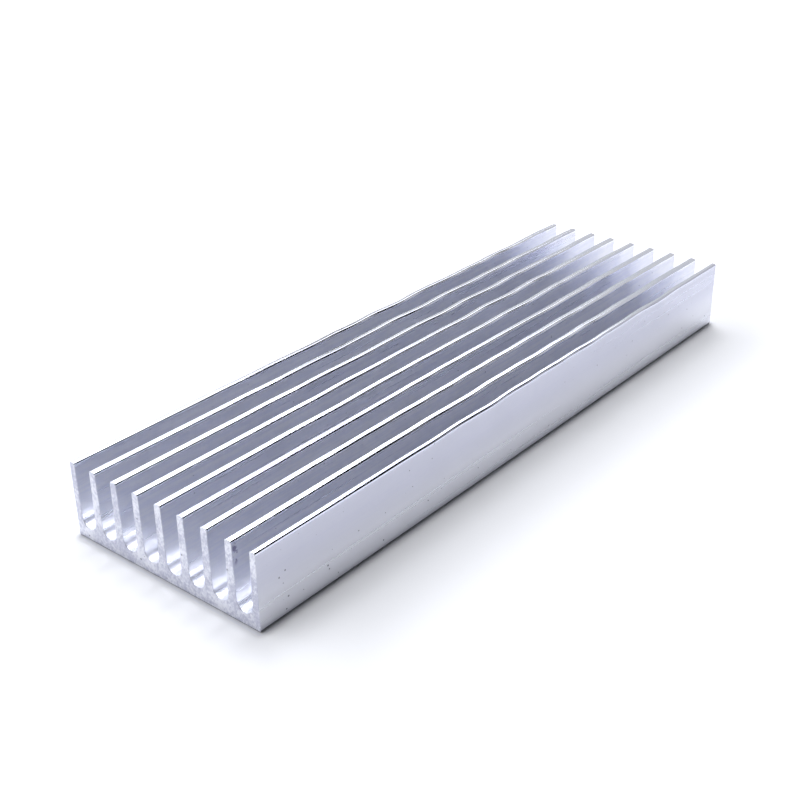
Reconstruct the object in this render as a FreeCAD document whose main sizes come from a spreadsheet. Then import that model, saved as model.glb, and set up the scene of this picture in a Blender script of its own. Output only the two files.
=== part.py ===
"""Extruded aluminium heat sink: a flat base with a row of straight fins, sawn square at both ends.

The section lies in the YZ plane and runs along X. Z points up, from the face that takes the heat to
the fins' tips. The origin is at the middle of that face. All lengths are in millimetres.
"""
import FreeCAD, Part
import math
import os

import Sketcher
from FreeCAD import Vector

# Each row holds a size's name in the sheet, its value and what it measures.
DIMENSIONS = (
    ("length", 150.0, "along the fins, from saw cut to saw cut"),
    ("height", 15.0, "from the underside to the tips of the fins"),
    ("base_thickness", 2.4, "from the underside to the lowest line of a channel's floor"),
    ("channel_count", 8, "channels side by side, one fewer than the fins"),
    ("channel_pitch", 5.5, "from the middle of one channel to the middle of the next"),
    ("channel_width", 4.0, "between two neighbouring fins, at the height of their tips"),
    ("root_radius", 1.8, "of the full round that makes a channel's floor"),
    ("outer_fin_thickness", 1.25, "of the two outermost fins, at the height of their tips"),
    ("tip_radius", 0.4, "along both edges of every fin's tip"),
    ("corner_radius", 0.4, "along both long edges of the underside"),
)
OVERALL_WIDTH = (
    "(Sizes.channel_count - 1) * Sizes.channel_pitch + Sizes.channel_width + 2 * Sizes.outer_fin_thickness"
)

# The points of a line or an arc are numbered up from 1 in constraints, and a sketch's axes down from -1.
START, END, CENTRE = range(1, 4)
HORIZONTAL_AXIS, VERTICAL_AXIS = range(-1, -3, -1)
ORIGIN = (HORIZONTAL_AXIS, START)

# Lengths closer than this are the same.
TOLERANCE = 1e-6


def add_sheet(doc):
    """Spreadsheet that holds the driving dimensions under their names."""
    sheet = doc.addObject("Spreadsheet::Sheet", "Sizes")
    for row, (name, value, meaning) in enumerate(DIMENSIONS, start=1):
        sheet.set(f"A{row}", name)
        sheet.set(f"B{row}", str(value))
        sheet.set(f"C{row}", meaning)
        sheet.setAlias(f"B{row}", name)
    doc.recompute()
    return sheet


def overall_width(sheet):
    """Width of the bar, from outer face to outer face."""
    middles = (sheet.channel_count - 1) * sheet.channel_pitch
    return middles + sheet.channel_width + 2 * sheet.outer_fin_thickness


def wall_lean(sheet):
    """Angle from the vertical at which a wall leaves the floor's round to reach the width at the tips."""
    half = sheet.channel_width / 2
    rise = sheet.height - sheet.base_thickness - sheet.root_radius
    return math.acos(sheet.root_radius / math.hypot(half, rise)) - math.atan2(rise, half)


def channel_area(sheet):
    """Area of one channel's section: two tapering halves, and the sector of the round between them."""
    half = sheet.channel_width / 2
    radius = sheet.root_radius
    rise = sheet.height - sheet.base_thickness - radius
    wall = math.sqrt(half**2 + rise**2 - radius**2)
    return half * rise + radius * wall + radius**2 * (math.pi / 2 - wall_lean(sheet))


def add_section_sketch(body, name):
    """Empty sketch across the bar, on the body's own plane: its X is the bar's Y and its Y the bar's Z."""
    sketch = body.newObject("Sketcher::SketchObject", name)
    plane = next(feature for feature in body.Origin.OriginFeatures if feature.Role == "YZ_Plane")
    sketch.AttachmentSupport = (plane, [""])
    sketch.MapMode = "FlatFace"
    return sketch


def bind(sketch, name, formula, *constraint):
    """Adds a dimension to a sketch, names it and drives it from the sheet."""
    sketch.addConstraint(Sketcher.Constraint(*constraint))
    sketch.renameConstraint(sketch.ConstraintCount - 1, name)
    sketch.setExpression(f"Constraints.{name}", formula)


def draw_blank(sketch, sheet):
    """Outline of the bar without its channels: a rectangle that stands on the sketch's origin."""
    width = overall_width(sheet)
    half = width / 2
    corners = (
        Vector(-half, 0, 0),
        Vector(half, 0, 0),
        Vector(half, sheet.height, 0),
        Vector(-half, sheet.height, 0),
    )
    bottom, right, top, left = (
        sketch.addGeometry(Part.LineSegment(corners[side], corners[(side + 1) % 4])) for side in range(4)
    )
    for first, second in ((bottom, right), (right, top), (top, left), (left, bottom)):
        sketch.addConstraint(Sketcher.Constraint("Coincident", first, END, second, START))
    sketch.addConstraint(Sketcher.Constraint("Horizontal", top))
    sketch.addConstraint(Sketcher.Constraint("Vertical", right))
    sketch.addConstraint(Sketcher.Constraint("Symmetric", bottom, START, bottom, END, *ORIGIN))
    bind(sketch, "overall_width", OVERALL_WIDTH, "DistanceX", bottom, START, bottom, END, width)
    bind(sketch, "overall_height", "Sizes.height", "DistanceY", right, START, right, END, sheet.height)


def draw_channel(sketch, sheet):
    """Outline of one channel: a full-round floor between two walls that lean apart towards the tips."""
    radius = sheet.root_radius
    half = sheet.channel_width / 2
    centre_height = sheet.base_thickness + radius
    lean = wall_lean(sheet)
    touch = Vector(radius * math.cos(lean), centre_height - radius * math.sin(lean), 0)
    top = Vector(half, sheet.height, 0)
    circle = Part.Circle(Vector(0, centre_height, 0), Vector(0, 0, 1), radius)

    left_wall = sketch.addGeometry(Part.LineSegment(Vector(-top.x, top.y, 0), Vector(-touch.x, touch.y, 0)))
    floor = sketch.addGeometry(Part.ArcOfCircle(circle, math.pi + lean, 2 * math.pi - lean))
    right_wall = sketch.addGeometry(Part.LineSegment(touch, top))
    mouth = sketch.addGeometry(Part.LineSegment(top, Vector(-top.x, top.y, 0)))

    sketch.addConstraint(Sketcher.Constraint("Tangent", left_wall, END, floor, START))
    sketch.addConstraint(Sketcher.Constraint("Tangent", floor, END, right_wall, START))
    sketch.addConstraint(Sketcher.Constraint("Coincident", right_wall, END, mouth, START))
    sketch.addConstraint(Sketcher.Constraint("Coincident", mouth, END, left_wall, START))
    sketch.addConstraint(Sketcher.Constraint("Symmetric", mouth, START, mouth, END, VERTICAL_AXIS))
    sketch.addConstraint(Sketcher.Constraint("PointOnObject", floor, CENTRE, VERTICAL_AXIS))
    bind(sketch, "floor_radius", "Sizes.root_radius", "Radius", floor, radius)
    bind(
        sketch, "floor_centre_height", "Sizes.base_thickness + Sizes.root_radius",
        "DistanceY", *ORIGIN, floor, CENTRE, centre_height,
    )
    bind(sketch, "mouth_width", "Sizes.channel_width", "DistanceX", mouth, END, mouth, START, 2 * half)
    bind(sketch, "mouth_height", "Sizes.height", "DistanceY", *ORIGIN, mouth, START, sheet.height)


def edges_along_bar(shape, level):
    """Names of the straight edges that run along X at one height above the underside."""
    names = []
    for number, edge in enumerate(shape.Edges, start=1):
        first, last = (vertex.Point for vertex in edge.Vertexes)
        run = last - first
        along_x = abs(run.x) > TOLERANCE and math.hypot(run.y, run.z) < TOLERANCE
        if along_x and abs(first.z - level) < TOLERANCE:
            names.append(f"Edge{number}")
    return names


def add_rounding(body, base, name, level, radius):
    """Fillet along every long edge of the bar at one height."""
    fillet = body.newObject("PartDesign::Fillet", name)
    fillet.Base = (base, edges_along_bar(base.Shape, level))
    fillet.setExpression("Radius", radius)
    return fillet


def add_blank(doc, body, sheet):
    """The bar without its channels."""
    section = add_section_sketch(body, "BlankSection")
    draw_blank(section, sheet)
    blank = body.newObject("PartDesign::Pad", "Blank")
    blank.Profile = section
    blank.SideType = "Symmetric"
    blank.setExpression("Length", "Sizes.length")
    doc.recompute()


def add_channels(doc, body, sheet):
    """One channel along the bar, beside the outer fin at low Y, and its copies across the bar."""
    section = add_section_sketch(body, "ChannelSection")
    draw_channel(section, sheet)
    section.setExpression("AttachmentOffset.Base.x", "-(Sizes.channel_count - 1) * Sizes.channel_pitch / 2")
    channel = body.newObject("PartDesign::Pocket", "Channel")
    channel.Profile = section
    channel.SideType = "Symmetric"
    channel.setExpression("Length", "Sizes.length")
    doc.recompute()

    channels = body.newObject("PartDesign::LinearPattern", "Channels")
    channels.Originals = [channel]
    channels.Direction = (section, ["H_Axis"])
    channels.Mode = "Spacing"
    channels.setExpression("Offset", "Sizes.channel_pitch")
    channels.setExpression("Occurrences", "Sizes.channel_count")
    body.Tip = channels
    doc.recompute()
    return channels


def add_heat_sink(doc, sheet):
    """The whole extrusion, one solid."""
    body = doc.addObject("PartDesign::Body", "HeatSink")
    body.Label = "heat_sink"
    body.Placement = FreeCAD.Placement(Vector(0, 0, 0), FreeCAD.Rotation(0, 0, 0))
    add_blank(doc, body, sheet)
    channels = add_channels(doc, body, sheet)
    section_area = overall_width(sheet) * sheet.height - sheet.channel_count * channel_area(sheet)
    if not math.isclose(channels.Shape.Volume, section_area * sheet.length, rel_tol=TOLERANCE):
        raise RuntimeError("the channels didn't cut what their section says")

    tips = add_rounding(body, channels, "TipRounding", sheet.height, "Sizes.tip_radius")
    doc.recompute()
    body.Tip = add_rounding(body, tips, "CornerRounding", 0, "Sizes.corner_radius")
    doc.recompute()
    return body


def check(doc, body):
    """Stops before anything is written if a feature failed or the bar isn't one solid."""
    for item in doc.Objects:
        if "Invalid" in item.State or "Error" in item.State:
            raise RuntimeError(f"{item.Name} failed: {item.State}")
    shape = body.Shape
    if shape.isNull() or not shape.isValid() or len(shape.Solids) != 1:
        raise RuntimeError(f"{body.Label} is not one valid solid")


def main():
    doc = FreeCAD.newDocument("HeatSink")
    sheet = add_sheet(doc)
    body = add_heat_sink(doc, sheet)
    check(doc, body)
    os.makedirs("parts", exist_ok=True)
    body.Shape.exportStep(f"parts/{body.Label}.step")
    box = body.Shape.BoundBox
    print(f"{body.Label}: {box.XLength:.2f} x {box.YLength:.2f} x {box.ZLength:.2f} mm")
    print(f"volume {body.Shape.Volume / 1000:.2f} cm3")


main()
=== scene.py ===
"""Looks of a bare aluminium heat sink: one extrusion with nine fins, sawn square at both ends.

+X runs along the fins, +Y across them and +Z up from the flat underside. Lengths are in metres.
The extrusion is swept here from the same section as the solid, with finer rounds, the relief that the
die leaves along it, fins that stand very slightly out of true and saw cuts with broken edges.
"""

import math
import random

import bmesh
import bpy
from mathutils import Euler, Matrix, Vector, noise


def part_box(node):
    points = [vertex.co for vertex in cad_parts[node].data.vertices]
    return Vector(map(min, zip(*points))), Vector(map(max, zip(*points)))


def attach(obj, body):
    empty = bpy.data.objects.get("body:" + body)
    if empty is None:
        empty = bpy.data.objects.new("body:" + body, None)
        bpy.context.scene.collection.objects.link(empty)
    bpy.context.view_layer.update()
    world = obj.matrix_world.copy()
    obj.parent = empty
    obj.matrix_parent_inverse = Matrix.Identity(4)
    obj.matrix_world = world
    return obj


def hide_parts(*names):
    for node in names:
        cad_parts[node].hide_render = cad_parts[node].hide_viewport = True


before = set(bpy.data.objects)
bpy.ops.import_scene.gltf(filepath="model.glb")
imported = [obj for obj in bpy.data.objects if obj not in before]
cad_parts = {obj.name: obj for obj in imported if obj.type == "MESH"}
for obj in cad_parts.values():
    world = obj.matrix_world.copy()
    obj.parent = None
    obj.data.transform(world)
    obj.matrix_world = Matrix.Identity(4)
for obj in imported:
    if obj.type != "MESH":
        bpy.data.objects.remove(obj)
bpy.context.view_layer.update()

MM = 0.001

# Sizes of the section, as the solid has them. Its length, width and height are read from the frame.
BASE_THICKNESS = 2.4 * MM
CHANNEL_COUNT = 8
CHANNEL_PITCH = 5.5 * MM
CHANNEL_WIDTH = 4.0 * MM
ROOT_RADIUS = 1.8 * MM
TIP_RADIUS = 0.4 * MM
CORNER_RADIUS = 0.4 * MM

LOW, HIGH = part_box("heat_sink")
LENGTH = HIGH.x - LOW.x
WIDTH = HIGH.y - LOW.y
HEIGHT = HIGH.z
HALF_WIDTH = WIDTH / 2

# How finely the section and the bar are divided.
WALL_STEPS = 20
TIP_STEPS = 6
FLOOR_STEPS = 12
CORNER_STEPS = 5
FOOT_STEPS = 6
BAR_STEPS = 110
SUPPORT = 0.06 * MM  # from the end of a round to the line that keeps the flat beside it flat

# What the die and the saw leave on the metal.
DIE_RELIEF = 0.014 * MM  # greatest height of the lengthwise relief on the walls
RELIEF_WIDTH = 0.8 * MM
RELIEF_FADE = 0.5 * MM  # from a wall's end to its full relief
DIE_LINES = (4.0 * MM, 9.6 * MM)  # heights of the plain scored lines on the outer faces
DIE_LINE_DEPTH = 0.001 * MM
DIE_LINE_HALF_WIDTH = 0.09 * MM
SAW_BREAK = 0.1 * MM  # width of the broken edge round a saw cut
SAW_BREAK_CHANGE = 0.35  # share by which it grows and shrinks round the cut
SAW_BREAK_LENGTH = 1.25 * MM  # length of that change

# How far the tip of a fin stands out of true: a long bow, and short waves that rise along the first half.
BOW = 0.06 * MM
BOW_LENGTH = 60 * MM
WAVE = 0.18 * MM
WAVE_LENGTH = 9 * MM
WAVE_START = 0.1  # share of the bar's length at which the waves begin
WAVE_RISE = 1 / 3  # share of its length over which they rise in full
NOISE_GAIN = 2  # the noise itself seldom passes a half

# Seeds. Each noise on the fins has a step from one fin to the next and an offset. The step of the waves is
# small, so that neighbouring fins wave alike.
RELIEF_SEED = (5.3, 2.0)
BOW_SEED = (3.7, 1.0)
WAVE_SEED = (0.4, 5.0)
CUT_SEED = 100.0  # times the place along the bar, so that the two cuts differ
PIT_SEED = 9

# The camera that fits the photograph, in this frame. Its turn is in degrees, its lens in millimetres.
CAMERA_PLACE = (-0.18541, -0.14375, 0.12619)
CAMERA_TURN = (62.342, 0.716, -50.566)
CAMERA_LENS = 57.875
CAMERA_SENSOR = 36.0


def arc(centre, radius, start, end, steps):
    """Points (y, z) on an arc between two angles, in radians anticlockwise from +Y, both ends included."""
    angles = [start + (end - start) * step / steps for step in range(steps + 1)]
    return [(centre[0] + radius * math.cos(a), centre[1] + radius * math.sin(a)) for a in angles]


def wall_lean():
    """Angle from the vertical at which a wall leaves the floor's round to reach the width at the tips."""
    half = CHANNEL_WIDTH / 2
    rise = HEIGHT - BASE_THICKNESS - ROOT_RADIUS
    return math.acos(ROOT_RADIUS / math.hypot(half, rise)) - math.atan2(rise, half)


LEAN = wall_lean()
ROOT_HEIGHT = BASE_THICKNESS + ROOT_RADIUS - ROOT_RADIUS * math.sin(LEAN)
CENTRE_LINES = [(n - (CHANNEL_COUNT - 1) / 2) * CHANNEL_PITCH for n in range(CHANNEL_COUNT)]


def wall_offset(height):
    """Distance of a channel's wall from the channel's middle, at one height."""
    return CHANNEL_WIDTH / 2 - (HEIGHT - height) * math.tan(LEAN)


def heights(low, high, steps, lines=()):
    """Heights between two levels, both included, close together at the ends and at each scored line."""
    inner_low = low + SUPPORT
    inner_high = high - SUPPORT
    even = [inner_low + (inner_high - inner_low) * step / steps for step in range(steps + 1)]
    scored = []
    for line in lines:
        if low < line < high:
            even = [z for z in even if abs(z - line) > 2 * DIE_LINE_HALF_WIDTH]
            scored += [line - DIE_LINE_HALF_WIDTH, line, line + DIE_LINE_HALF_WIDTH]
    return sorted([low, high] + even + scored)


def fin_noise(at, fin, seed, shift=0.0):
    """Smooth noise about 0 on one fin."""
    step, offset = seed
    return noise.noise(Vector((at, fin * step + shift, offset)))


def outer_fin(side):
    """Number of the outermost fin on one side, which is -1 or 1."""
    return 0 if side < 0 else CHANNEL_COUNT


def relief(level, low, high, fin, side):
    """How far a wall stands out at one height: the relief of the die, and the lines on outer faces."""
    fade = min(1.0, (level - low) / RELIEF_FADE, (high - level) / RELIEF_FADE)
    stands = DIE_RELIEF * fade * fin_noise(level / RELIEF_WIDTH, fin, RELIEF_SEED, side)
    on_line = min(abs(level - line) for line in DIE_LINES) < DIE_LINE_HALF_WIDTH / 2
    if fin == outer_fin(side) and on_line:
        stands -= DIE_LINE_DEPTH
    return stands


def face_of_fin(fin, side):
    """Points (y, z) of one face of a fin from its root to its flat top; side is -1 or 1."""
    outer = fin == outer_fin(side)
    lean = 0.0 if outer else LEAN
    tip_height = HEIGHT - TIP_RADIUS + TIP_RADIUS * math.sin(lean)
    lines = DIE_LINES if fin in (0, CHANNEL_COUNT) else ()
    levels = heights(ROOT_HEIGHT, tip_height, WALL_STEPS, lines)

    def face(level):
        if outer:
            return side * HALF_WIDTH
        channel = fin - 1 if side < 0 else fin
        return CENTRE_LINES[channel] - side * wall_offset(level)

    found = [(face(levels[0]), levels[0])]
    for level in levels[1:-1]:
        stands = relief(level, ROOT_HEIGHT, tip_height, fin, side)
        found.append((face(level) + side * stands, level))
    centre = (face(tip_height) - side * TIP_RADIUS * math.cos(lean), HEIGHT - TIP_RADIUS)
    start = lean if side > 0 else math.pi - lean
    found += arc(centre, TIP_RADIUS, start, math.pi / 2, TIP_STEPS)
    found.append((centre[0] - side * SUPPORT, HEIGHT))
    return found


class Section:
    """Outline of the bar's section, and the flat faces that close it at a saw cut.

    points run round the outline from the underside's corner at -Y, up and over the fins, and back along
    the underside. Each holds y, z and which fin it belongs to, or None. cells are the faces, as indices.
    """

    def __init__(self):
        self.points = []
        self.cells = []
        foot_low = self.add_foot(-1)
        roots = []
        floors = []
        for fin in range(CHANNEL_COUNT + 1):
            roots.append(self.add_fin(fin))
            if fin < CHANNEL_COUNT:
                floors.append(self.add_floor(fin))
        foot_high = self.add_foot(1)
        self.add_underside(foot_low, roots, floors, foot_high)

    def add(self, y, z, fin=None):
        """Adds a point to the outline and gives its index."""
        self.points.append((y, z, fin))
        return len(self.points) - 1

    def add_foot(self, side):
        """Corner of the underside and the outer face above it, up to the root of the outermost fin."""
        centre = (side * (HALF_WIDTH - CORNER_RADIUS), CORNER_RADIUS)
        outward = 0.0 if side > 0 else math.pi
        down = -math.pi / 2 if side > 0 else 1.5 * math.pi
        found = [(centre[0] - side * SUPPORT, 0.0)]
        found += arc(centre, CORNER_RADIUS, down, outward, CORNER_STEPS)
        for level in heights(CORNER_RADIUS, ROOT_HEIGHT, FOOT_STEPS, DIE_LINES)[1:-1]:
            stands = relief(level, CORNER_RADIUS, ROOT_HEIGHT, outer_fin(side), side)
            found.append((side * (HALF_WIDTH + stands), level))
        if side > 0:
            found.reverse()
        return [self.add(y, z) for y, z in found]

    def add_fin(self, fin):
        """One fin, from its root at low Y over its tip to its root at high Y, with its faces at a cut."""
        left = [self.add(y, z, fin) for y, z in face_of_fin(fin, -1)]
        right = [self.add(y, z, fin) for y, z in reversed(face_of_fin(fin, 1))][::-1]
        for k in range(len(left) - 3):
            self.cells.append((left[k], right[k], right[k + 1], left[k + 1]))
        self.cells.append((left[-3], right[-3], right[-2], right[-1], left[-1], left[-2]))
        return left[0], right[0]

    def add_floor(self, channel):
        """Points between the two ends of a channel's round floor, which belong to its fins."""
        centre = (CENTRE_LINES[channel], BASE_THICKNESS + ROOT_RADIUS)
        curve = arc(centre, ROOT_RADIUS, math.pi + LEAN, 2 * math.pi - LEAN, FLOOR_STEPS)
        return [self.add(y, z) for y, z in curve[1:-1]]

    def add_underside(self, foot_low, roots, floors, foot_high):
        """Points of the underside below each point of a floor, and the base's faces at a cut."""
        below = {}
        for channel in reversed(range(CHANNEL_COUNT)):
            row = [roots[channel][1]] + floors[channel] + [roots[channel + 1][0]]
            for index in reversed(row):
                below[index] = self.add(self.points[index][0], 0.0)
            for a, b in zip(row, row[1:]):
                self.cells.append((a, b, below[b], below[a]))
        for left, right in roots[1:-1]:
            self.cells.append((left, right, below[right], below[left]))
        self.cells.append((*foot_low, *roots[0], below[roots[0][1]]))
        self.cells.append((*roots[-1], *foot_high, below[roots[-1][0]]))

    def inward(self, index):
        """Direction from a point of the outline into the metal, square to the outline there."""
        before = self.points[index - 1]
        after = self.points[(index + 1) % len(self.points)]
        along = Vector((after[0] - before[0], after[1] - before[1])).normalized()
        return Vector((along.y, -along.x))

    def girth(self):
        """Length of the outline up to each point, and at last all round."""
        found = [0.0]
        for a, b in zip(self.points, self.points[1:] + self.points[:1]):
            found.append(found[-1] + math.hypot(b[0] - a[0], b[1] - a[1]))
        return found


def out_of_true(fin, x, height):
    """How far a fin leans over at one place, growing from its root to its tip."""
    if fin is None or height <= ROOT_HEIGHT:
        return 0.0
    rise = (height - ROOT_HEIGHT) / (HEIGHT - ROOT_HEIGHT)
    bow = BOW * fin_noise(x / BOW_LENGTH, fin, BOW_SEED)
    settle = min(1.0, max(0.0, ((x - LOW.x) / LENGTH - WAVE_START) / WAVE_RISE))
    wave = WAVE * settle * fin_noise(x / WAVE_LENGTH, fin, WAVE_SEED)
    return rise * rise * NOISE_GAIN * (bow + wave)


def ring(section, x, inset):
    """Points of the outline at one place along the bar, drawn in by inset where a saw cut breaks it."""
    found = []
    for index, (y, z, fin) in enumerate(section.points):
        change = noise.noise(Vector((y / SAW_BREAK_LENGTH, z / SAW_BREAK_LENGTH, x * CUT_SEED)))
        into = section.inward(index) * inset * (1 + SAW_BREAK_CHANGE * change)
        found.append(Vector((x, y + into.x + out_of_true(fin, x, z), z + into.y)))
    return found


def places_along():
    """(x, inset) of each ring from one saw cut to the other."""
    half = LENGTH / 2
    inner = half - SAW_BREAK
    span = inner - SUPPORT
    even = [(-span + 2 * span * step / BAR_STEPS, 0.0) for step in range(BAR_STEPS + 1)]
    return [(-half, SAW_BREAK), (-inner, 0.0)] + even + [(inner, 0.0), (half, SAW_BREAK)]


# Materials of the bar, in their order on it.
DRAWN_SLOT = 0
SAWN_SLOT = 1


def add_sides(mesh, section, places, rings):
    """Faces between the rings, with their place along the bar and round it as texture coordinates."""
    lengthwise = mesh.loops.layers.uv["lengthwise"]
    girth = section.girth()
    around = len(section.points)
    for step in range(len(places) - 1):
        broken = step in (0, len(places) - 2)
        for k in range(around):
            n = (k + 1) % around
            face = mesh.faces.new((rings[step][k], rings[step][n], rings[step + 1][n], rings[step + 1][k]))
            face.smooth = True
            face.material_index = SAWN_SLOT if broken else DRAWN_SLOT
            corners = ((step, k), (step, k + 1), (step + 1, k + 1), (step + 1, k))
            for loop, (at, round_at) in zip(face.loops, corners):
                loop[lengthwise].uv = (places[at][0] / LENGTH, girth[round_at] / LENGTH)


def add_cuts(mesh, section, rings):
    """The flat faces that close the bar at its two saw cuts."""
    lengthwise = mesh.loops.layers.uv["lengthwise"]
    for end in (0, -1):
        for cell in section.cells:
            face = mesh.faces.new([rings[end][index] for index in cell])
            face.smooth = False
            face.material_index = SAWN_SLOT
            for loop in face.loops:
                loop[lengthwise].uv = (loop.vert.co.y / LENGTH, loop.vert.co.z / LENGTH)


def build_bar(section):
    """The whole extrusion as one closed mesh."""
    mesh = bmesh.new()
    places = places_along()
    rings = [[mesh.verts.new(p) for p in ring(section, x, inset)] for x, inset in places]
    mesh.loops.layers.uv.new("lengthwise")
    add_sides(mesh, section, places, rings)
    add_cuts(mesh, section, rings)
    bmesh.ops.recalc_face_normals(mesh, faces=mesh.faces)
    data = bpy.data.meshes.new("extrusion")
    mesh.to_mesh(data)
    mesh.free()
    bar = bpy.data.objects.new("extrusion", data)
    bpy.context.scene.collection.objects.link(bar)
    return bar


def put(tree, socket, value):
    """Links another node's output to a socket, or sets the socket to a plain value."""
    if isinstance(value, bpy.types.NodeSocket):
        tree.links.new(value, socket)
    else:
        socket.default_value = value


def add_node(tree, kind, inputs, **settings):
    """Adds a node with its settings and inputs, and gives its first output."""
    made = tree.nodes.new(kind)
    for name, value in settings.items():
        setattr(made, name, value)
    for name, value in inputs.items():
        put(tree, made.inputs[name], value)
    return made.outputs[0]


def stretched_noise(tree, place, sizes, detail):
    """Noise between 0 and 1 whose features have the given sizes along X, Y and Z."""
    scale = tuple(1 / size for size in sizes)
    scaled = add_node(tree, "ShaderNodeMapping", {"Vector": place, "Scale": scale})
    return add_node(tree, "ShaderNodeTexNoise", {"Vector": scaled, "Scale": 1.0, "Detail": detail})


def ramp(tree, value, low, high, to_low=0.0, to_high=1.0):
    """Maps a range of values smoothly onto another one, and holds it past both ends."""
    span = {"Value": value, "From Min": low, "From Max": high, "To Min": to_low, "To Max": to_high}
    return add_node(tree, "ShaderNodeMapRange", span, interpolation_type="SMOOTHSTEP")


def blend_colour(tree, share, first, second):
    """Colour between two others."""
    mix = tree.nodes.new("ShaderNodeMix")
    mix.data_type = "RGBA"
    put(tree, mix.inputs[0], share)
    put(tree, mix.inputs[6], first)
    put(tree, mix.inputs[7], second)
    return mix.outputs[2]


def maths(tree, operation, first, second):
    """Two values put together by one operation."""
    made = tree.nodes.new("ShaderNodeMath")
    made.operation = operation
    put(tree, made.inputs[0], first)
    put(tree, made.inputs[1], second)
    return made.outputs[0]


def weighted(tree, values, weights):
    """Sum of the named values, each times its weight."""
    total = None
    for name, weight in weights.items():
        share = maths(tree, "MULTIPLY", values[name], weight)
        total = share if total is None else maths(tree, "ADD", total, share)
    return total


def length_of(tree, vector):
    """Length of a vector."""
    made = tree.nodes.new("ShaderNodeVectorMath")
    made.operation = "LENGTH"
    put(tree, made.inputs[0], vector)
    return made.outputs["Value"]


# Colours of the metal, of what marks it, and of the painted shade and painted light on it.
METAL_COOL = (0.84, 0.858, 0.967, 1.0)
# also laid low on the walls as painted light, through the low mark
METAL_PALE = (0.92, 0.93, 0.99, 1.0)
# painted shade: a darker colour for the outer faces at -Y and +Y
METAL_OUTER_SHADE = (0.70, 0.71, 0.83, 1.0)
METAL_SAWN = (0.62, 0.63, 0.74, 1.0)
METAL_PIT = (0.30, 0.30, 0.36, 1.0)
# painted shade: the near-black colour of the bottom edges, where the bar meets the floor
METAL_CONTACT_SHADE = (0.12, 0.12, 0.16, 1.0)
METAL_SMUDGE = (0.42, 0.40, 0.56, 1.0)
METAL_HAZE = (0.70, 0.69, 0.84, 1.0)
METAL_SHARE = 0.8  # the rest is the pale, dull skin that a bare extrusion has

# Noises in the drawn metal: the size of their features along X, Y and Z, and how far their detail goes.
DRAWN_NOISES = {
    "broad": ((160 * MM, 1.4 * MM, 1.4 * MM), 2.0),
    "line": ((90 * MM, 0.45 * MM, 0.45 * MM), 1.0),
    "fine": ((40 * MM, 0.16 * MM, 0.16 * MM), 3.0),
    "cloud": ((22 * MM, 9 * MM, 9 * MM), 3.0),
    "mottle": ((2.2 * MM, 0.8 * MM, 0.8 * MM), 4.0),
    "grain": ((0.25 * MM, 0.25 * MM, 0.25 * MM), 2.0),
    "speck": ((0.8 * MM, 0.6 * MM, 0.6 * MM), 1.0),
    "patch": ((0.5 * MM, 0.5 * MM, 0.7 * MM), 1.0),
}

# Noises in the sawn metal. A noise as long as this along X stays the same through the broken edge.
UNCHANGED = 1000 * MM
SAWN_NOISES = {
    "cloud": ((UNCHANGED, 4 * MM, 4 * MM), 3.0),
    "mottle": ((UNCHANGED, 0.6 * MM, 0.6 * MM), 4.0),
    "speck": ((0.5 * MM, 0.5 * MM, 0.5 * MM), 1.0),
}
SCRATCH_NOISE = ((UNCHANGED, 6 * MM, 0.12 * MM), 3.0)
SCRATCH_SLANT = math.radians(62)

# What each look is made of: the weight of each noise and mark in it.
DRAWN_TONE = {"broad": 0.2, "line": 0.35, "cloud": 0.15, "mottle": 0.3}
DRAWN_STREAK = {"broad": 0.5, "line": 0.3, "fine": 0.2}
DRAWN_ROUGHNESS = {"streak": 1.0, "haze": 0.1, "smudge": 0.2, "root": -0.02}
DRAWN_RELIEF = {"line": 1.5, "fine": 0.5, "grain": 0.3, "pit": -1.5}
SAWN_TONE = {"cloud": 0.4, "mottle": 0.4, "scratch": 0.2}
SAWN_RELIEF = {"scratch": 1.0, "mottle": 1.0, "pit": -1.5}
RELIEF_HEIGHT = 0.006 * MM

# The marks on each metal and their colours, from the lowest to the topmost. Among them outer and foot are
# painted shade, and low is painted light.
DRAWN_MARKS = {
    # painted shade: the outer faces darker
    "outer": METAL_OUTER_SHADE,
    # painted light: the walls and outer faces paler towards the floor
    "low": METAL_PALE,
    "haze": METAL_HAZE,
    "smudge": METAL_SMUDGE,
    "pit": METAL_PIT,
    # painted shade along the bottom edge, at the contact with the floor
    "foot": METAL_CONTACT_SHADE,
}
# foot on the sawn metal is painted shade along the cut end's bottom edge
SAWN_MARKS = {"pit": METAL_PIT, "foot": METAL_CONTACT_SHADE}

# Ranges of the ramps: from a low and a high value, to two others where these aren't 0 and 1.
TONE_RANGE = (0.4, 0.6)
SPECK_RANGE = (0.79, 0.82)
PATCH_RANGE = (0.45, 0.6)
HAZE_RANGE = (0.3, 0.6, 0.3, 1.0)
BLOT_RANGE = (0.5, 1.1, 1.0, 0.0)
STREAK_RANGE = (0.35, 0.65, 0.27, 0.37)  # to the roughness
SCRATCH_RANGE = (0.3, 0.7, 0.46, 0.6)  # to the roughness

# The same for places: heights above the underside, and for the outer faces distances from the middle.
TIP_RANGE = (HEIGHT - 0.7 * MM, HEIGHT - 0.4 * MM)
ROOT_RANGE = (4.0 * MM, 8.0 * MM, 1.0, 0.0)
# painted light: paler below the higher height, most below the lower one
LOW_RANGE = (4.0 * MM, 11.0 * MM, 0.8, 0.0)
# painted shade along the bottom edges of the drawn and the sawn metal: full below the lower height
DRAWN_FOOT_RANGE = (0.15 * MM, 0.5 * MM, 1.0, 0.0)
SAWN_FOOT_RANGE = (0.05 * MM, 0.3 * MM, 1.0, 0.0)
# painted shade on the outer faces
OUTER_RANGE = (HALF_WIDTH - 0.4 * MM, HALF_WIDTH - 0.2 * MM, 0.0, 0.8)

# How the tips differ from the walls, and how far the lines stretch the gloss across them.
TIP_BURNISH = 0.7  # share of the walls' roughness that is rubbed away
TIP_RELIEF = 0.4  # share of the walls' fine relief that is left
LINE_STRETCH = 0.8
QUARTER_TURN = 0.25  # from along the lines to across them

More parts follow.
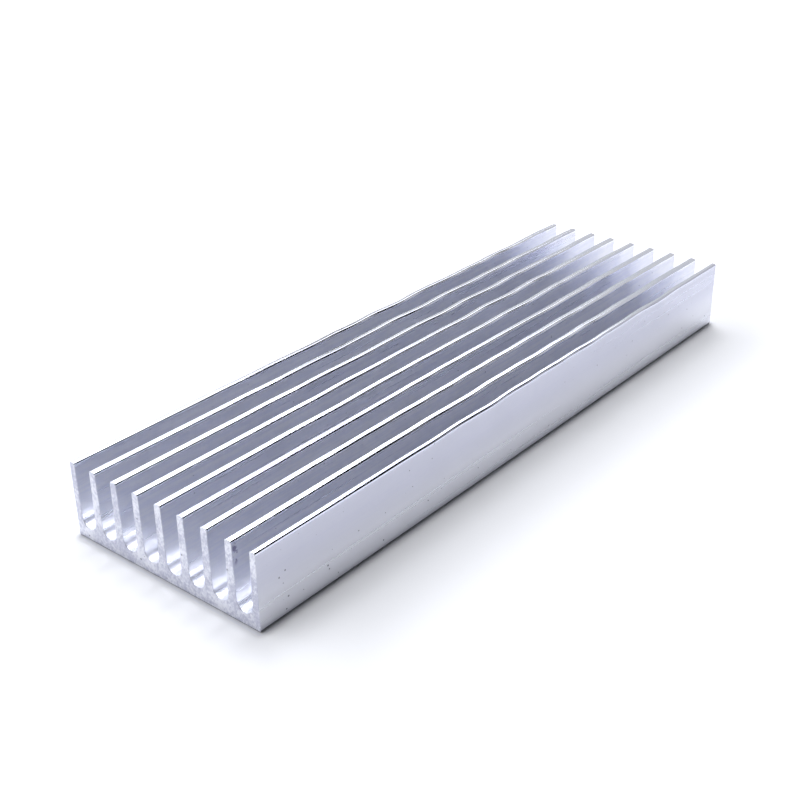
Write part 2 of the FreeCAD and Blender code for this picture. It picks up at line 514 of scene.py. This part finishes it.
# Small dark pits that the photograph shows, in millimetres: x and z on the outer face at -Y, and y and z on
# the cut end at -X.
SIDE_PITS = (
    (-51.2, 6.9), (-68.4, 3.4), (-59.0, 4.1), (-58.7, 3.3), (-68.8, 8.6), (-36.8, 8.6),
    (-44.9, 1.7), (-70.2, 7.9), (-37.6, 12.2), (-69.0, 1.2),
)
END_PITS = (
    (15.8, 6.9), (5.5, 10.1), (-5.1, 7.4), (-15.9, 9.2), (-9.8, 3.6), (-21.2, 4.3),
    (19.7, 0.9), (5.8, 1.9), (-0.6, 0.8),
)
PIT_RADIUS = 0.2 * MM
PIT_RANGE = (0.7, 1.2)  # shares of that radius
PIT_SHAPE = ((0.8, 1.2), (0.7, 1.1))  # shares of a pit's own radius, along Y and along Z

# A dark smudge on a wall beside the cut end at -X, and a specked haze on a tip: middle and half extents.
SMUDGE_HEIGHT = 12.6 * MM
SMUDGE_PLACE = (LOW.x + 0.7 * MM, CENTRE_LINES[0] + wall_offset(SMUDGE_HEIGHT), SMUDGE_HEIGHT)
SMUDGE_SIZES = (0.7 * MM, 0.5 * MM, 2.4 * MM)
HAZE_PLACE = (LOW.x + 20 * MM, (CENTRE_LINES[2] + CENTRE_LINES[3]) / 2, HEIGHT)
HAZE_SIZES = (27 * MM, 1.6 * MM, 0.6 * MM)


def new_metal(name):
    """A new material with its tree, its metal shader and the place on the object in metres."""
    material = bpy.data.materials.new(name)
    material.use_nodes = True
    tree = material.node_tree
    shader = next(n for n in tree.nodes if n.type == "BSDF_PRINCIPLED")
    shader.inputs["Metallic"].default_value = METAL_SHARE
    coordinates = tree.nodes.new("ShaderNodeTexCoord")
    return material, tree, shader, coordinates.outputs["Object"]


def noises(tree, place, rows):
    """Several noises by name."""
    return {name: stretched_noise(tree, place, sizes, detail) for name, (sizes, detail) in rows.items()}


def height_and_side(tree, place):
    """Height above the underside, and distance across the bar from its middle."""
    parts = tree.nodes.new("ShaderNodeSeparateXYZ")
    put(tree, parts.inputs[0], place)
    return parts.outputs["Z"], maths(tree, "ABSOLUTE", parts.outputs["Y"], 0.0)


def blot(tree, place, centre, sizes):
    """Share of one mark: 1 round its middle and 0 past its edge. Sizes are half its extents."""
    scale = tuple(1 / size for size in sizes)
    shift = tuple(-at / size for at, size in zip(centre, sizes))
    near = add_node(tree, "ShaderNodeMapping", {"Vector": place, "Location": shift, "Scale": scale})
    return ramp(tree, length_of(tree, near), *BLOT_RANGE)


def pits(tree, place, speck, centres):
    """Share of all pits: a few where the specks are strongest, and one of its own size at each centre."""
    rough_size = random.Random(PIT_SEED)
    share = ramp(tree, speck, *SPECK_RANGE)
    for centre in centres:
        radius = PIT_RADIUS * rough_size.uniform(*PIT_RANGE)
        sizes = [radius] + [radius * rough_size.uniform(*shares) for shares in PIT_SHAPE]
        share = maths(tree, "MAXIMUM", share, blot(tree, place, centre, sizes))
    return share


def patchy_blot(tree, place, centre, sizes, patches, span):
    """Share of one mark that is broken up by a noise."""
    return maths(tree, "MULTIPLY", blot(tree, place, centre, sizes), ramp(tree, patches, *span))


def metal_colour(tree, values, weights, cool, marks):
    """Colour that changes with the weighted noises, with each mark laid over it in turn."""
    tone = ramp(tree, weighted(tree, values, weights), *TONE_RANGE)
    colour = blend_colour(tree, tone, cool, METAL_PALE)
    for name, mark in marks.items():
        colour = blend_colour(tree, values[name], colour, mark)
    return colour


def fine_relief(tree, values, weights, strength):
    """Normal with the weighted noises as fine relief."""
    relief_height = weighted(tree, values, weights)
    settings = {"Height": relief_height, "Distance": RELIEF_HEIGHT, "Strength": strength}
    return add_node(tree, "ShaderNodeBump", settings)


def drawn_values(tree, place):
    """Noises of the drawn metal, and the share of each mark and region on it, by name."""
    found = noises(tree, place, DRAWN_NOISES)
    height, side = height_and_side(tree, place)
    found["tip"] = ramp(tree, height, *TIP_RANGE)
    found["root"] = ramp(tree, height, *ROOT_RANGE)
    # painted light: paler low on the walls
    found["low"] = ramp(tree, height, *LOW_RANGE)
    # painted shade on the corner round next to the floor
    found["foot"] = ramp(tree, height, *DRAWN_FOOT_RANGE)
    # painted shade: the outer faces darker
    found["outer"] = ramp(tree, side, *OUTER_RANGE)
    found["pit"] = pits(tree, place, found["speck"], [(x * MM, -HALF_WIDTH, z * MM) for x, z in SIDE_PITS])
    found["smudge"] = patchy_blot(tree, place, SMUDGE_PLACE, SMUDGE_SIZES, found["patch"], PATCH_RANGE)
    found["haze"] = patchy_blot(tree, place, HAZE_PLACE, HAZE_SIZES, found["grain"], HAZE_RANGE)
    return found


def drawn_roughness(tree, values):
    """Roughness in streaks along the bar, lower on the tips and higher on the marks."""
    streak = ramp(tree, weighted(tree, values, DRAWN_STREAK), *STREAK_RANGE)
    rubbed = maths(tree, "SUBTRACT", 1.0, maths(tree, "MULTIPLY", values["tip"], TIP_BURNISH))
    streak = maths(tree, "MULTIPLY", streak, rubbed)
    return weighted(tree, {**values, "streak": streak}, DRAWN_ROUGHNESS)


def drawn_metal():
    """Aluminium as the die leaves it: satin, lined along X and finely grained, with smooth tips."""
    material, tree, shader, place = new_metal("drawn_aluminium")
    values = drawn_values(tree, place)
    put(tree, shader.inputs["Base Color"], metal_colour(tree, values, DRAWN_TONE, METAL_COOL, DRAWN_MARKS))
    put(tree, shader.inputs["Metallic"], ramp(tree, values["tip"], 0.0, 1.0, METAL_SHARE, 1.0))
    put(tree, shader.inputs["Roughness"], drawn_roughness(tree, values))
    shader.inputs["Anisotropic"].default_value = LINE_STRETCH
    shader.inputs["Anisotropic Rotation"].default_value = QUARTER_TURN
    tangent = add_node(tree, "ShaderNodeTangent", {}, direction_type="UV_MAP", uv_map="lengthwise")
    put(tree, shader.inputs["Tangent"], tangent)
    strength = ramp(tree, values["tip"], 0.0, 1.0, 1.0, TIP_RELIEF)
    put(tree, shader.inputs["Normal"], fine_relief(tree, values, DRAWN_RELIEF, strength))
    return material


def sawn_metal():
    """Aluminium as the saw leaves it: rougher and mottled, with fine slanting scratches and pits."""
    material, tree, shader, place = new_metal("sawn_aluminium")
    values = noises(tree, place, SAWN_NOISES)
    slant = add_node(tree, "ShaderNodeMapping", {"Vector": place, "Rotation": (SCRATCH_SLANT, 0.0, 0.0)})
    values["scratch"] = stretched_noise(tree, slant, *SCRATCH_NOISE)
    values["pit"] = pits(tree, place, values["speck"], [(LOW.x, y * MM, z * MM) for y, z in END_PITS])
    # painted shade along the bottom edge of the cut end
    values["foot"] = ramp(tree, height_and_side(tree, place)[0], *SAWN_FOOT_RANGE)
    put(tree, shader.inputs["Base Color"], metal_colour(tree, values, SAWN_TONE, METAL_SAWN, SAWN_MARKS))
    put(tree, shader.inputs["Roughness"], ramp(tree, values["scratch"], *SCRATCH_RANGE))
    put(tree, shader.inputs["Normal"], fine_relief(tree, values, SAWN_RELIEF, 1.0))
    return material


def add_extrusion():
    """The bar with its materials, in place of the plain solid."""
    bar = build_bar(Section())
    bar.data.materials.append(drawn_metal())
    bar.data.materials.append(sawn_metal())
    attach(bar, "root")
    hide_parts("heat_sink")


FLOOR_SIZE = 12.0
FLOOR_COLOUR = (0.89, 0.895, 0.925, 1.0)
FLOOR_LIFT = 0.3  # what brings the floor up to white for the camera and in the metal
# nearer the bar than this the lift fades, which paints a shadow round its footprint
LIFT_REACH = 2.0 * MM  # from the bar to where the floor is lifted in full
FAR_LIFT = 0.08  # a little more, away from the lamps' middle
FAR_REACH = (20 * MM, 150 * MM)  # from no far lift to all of it


def gap_to_bar(tree, place):
    """Distance on the floor from the bar's footprint, 0 inside it."""
    gap = place
    for operation, value in (
        ("ABSOLUTE", (0.0, 0.0, 0.0)),
        ("SUBTRACT", (LENGTH / 2, HALF_WIDTH, 0.0)),
        ("MAXIMUM", (0.0, 0.0, 0.0)),
    ):
        made = tree.nodes.new("ShaderNodeVectorMath")
        made.operation = operation
        put(tree, made.inputs[0], gap)
        put(tree, made.inputs[1], value)
        gap = made.outputs["Vector"]
    return length_of(tree, gap)


def floor_paper():
    """Pale paper, lifted to white for the camera and in the metal, but not where the bar stands, so that it
    is darker round the bar: a painted shadow.
    """
    material = bpy.data.materials.new("floor_paper")
    material.use_nodes = True
    tree = material.node_tree
    shader = next(n for n in tree.nodes if n.type == "BSDF_PRINCIPLED")
    shader.inputs["Base Color"].default_value = FLOOR_COLOUR
    shader.inputs["Roughness"].default_value = 1.0
    shader.inputs["Specular IOR Level"].default_value = 0.0
    shader.inputs["Emission Color"].default_value = FLOOR_COLOUR
    rays = tree.nodes.new("ShaderNodeLightPath")
    seen = maths(tree, "MAXIMUM", rays.outputs["Is Camera Ray"], rays.outputs["Is Glossy Ray"])
    seen = maths(tree, "MAXIMUM", seen, rays.outputs["Is Transmission Ray"])
    coordinates = tree.nodes.new("ShaderNodeTexCoord")
    gap = gap_to_bar(tree, coordinates.outputs["Object"])
    # the lift fades to nothing at the bar: painted shadow round it
    lift = ramp(tree, gap, 0.0, LIFT_REACH, 0.0, FLOOR_LIFT)
    lift = maths(tree, "ADD", lift, ramp(tree, gap, *FAR_REACH, 0.0, FAR_LIFT))
    put(tree, shader.inputs["Emission Strength"], maths(tree, "MULTIPLY", seen, lift))
    return material


def add_floor():
    """Plain pale floor that shows white and keeps the bar's shadow."""
    data = bpy.data.meshes.new("floor")
    half = FLOOR_SIZE / 2
    corners = [(-half, -half, 0), (half, -half, 0), (half, half, 0), (-half, half, 0)]
    data.from_pydata(corners, [], [(0, 1, 2, 3)])
    floor = bpy.data.objects.new("floor", data)
    bpy.context.scene.collection.objects.link(floor)
    data.materials.append(floor_paper())


# Lamps: azimuth and elevation in degrees, width and height, and radiance.
LAMP_DISTANCE = 1.0
LAMP_COLOUR = (0.96, 0.975, 1.0)
LAMPS = {
    "top": (27, 65, 0.62, 0.33, 8.2),
    "broad": (123, 39, 1.59, 0.2, 8.0),
    "panel": (48, 41, 0.75, 0.5, 2.0),
    "low_panel": (0, 20, 1.6, 0.65, 0.62),
}

ROOM_COLOUR = (0.088, 0.09, 0.1, 1.0)
DARK_COLOUR = (0.006, 0.007, 0.009, 1.0)
DARK_SIDE = (-59, 14)  # azimuth and elevation of its middle
DARK_EDGE = (-0.56, 0.36)  # cosines of the angle from there, from no dark to full dark


def direction(azimuth, elevation):
    """Unit vector from the bar. Azimuth is anticlockwise from +X; both angles are in degrees."""
    a = math.radians(azimuth)
    e = math.radians(elevation)
    return Vector((math.cos(a) * math.cos(e), math.sin(a) * math.cos(e), math.sin(e)))


def add_softbox(name, azimuth, elevation, width, height, radiance):
    """Rectangular lamp that faces the bar from one direction."""
    towards = direction(azimuth, elevation)
    data = bpy.data.lights.new(name, "AREA")
    data.shape = "RECTANGLE"
    data.size = width
    data.size_y = height
    data.energy = radiance * math.pi * width * height
    data.color = LAMP_COLOUR
    lamp = bpy.data.objects.new(name, data)
    lamp.location = towards * LAMP_DISTANCE
    lamp.rotation_euler = towards.to_track_quat("Z", "Y").to_euler()
    bpy.context.scene.collection.objects.link(lamp)


def add_room():
    """Dim room round the bar, darker on the side that the fins' rounded edges show."""
    world = bpy.data.worlds.new("studio")
    world.use_nodes = True
    tree = world.node_tree
    background = next(n for n in tree.nodes if n.type == "BACKGROUND")
    coordinates = tree.nodes.new("ShaderNodeTexCoord")
    along = tree.nodes.new("ShaderNodeVectorMath")
    along.operation = "DOT_PRODUCT"
    put(tree, along.inputs[0], coordinates.outputs["Generated"])
    put(tree, along.inputs[1], direction(*DARK_SIDE))
    share = ramp(tree, along.outputs["Value"], *DARK_EDGE)
    put(tree, background.inputs["Color"], blend_colour(tree, share, ROOM_COLOUR, DARK_COLOUR))
    background.inputs["Strength"].default_value = 1.0
    bpy.context.scene.world = world


def add_light():
    """Soft studio light: a box overhead, a broad one behind, and two dim panels that the tips mirror."""
    for name, settings in LAMPS.items():
        add_softbox(name, *settings)
    add_room()


def add_camera():
    """Camera at the photograph's viewing angle."""
    data = bpy.data.cameras.new("camera")
    data.lens = CAMERA_LENS
    data.sensor_width = CAMERA_SENSOR
    camera = bpy.data.objects.new("camera", data)
    camera.location = CAMERA_PLACE
    camera.rotation_euler = Euler([math.radians(a) for a in CAMERA_TURN], "XYZ")
    bpy.context.scene.collection.objects.link(camera)
    bpy.context.scene.camera = camera


bpy.context.scene.view_settings.view_transform = "Standard"
add_extrusion()
add_floor()
add_light()
add_camera()
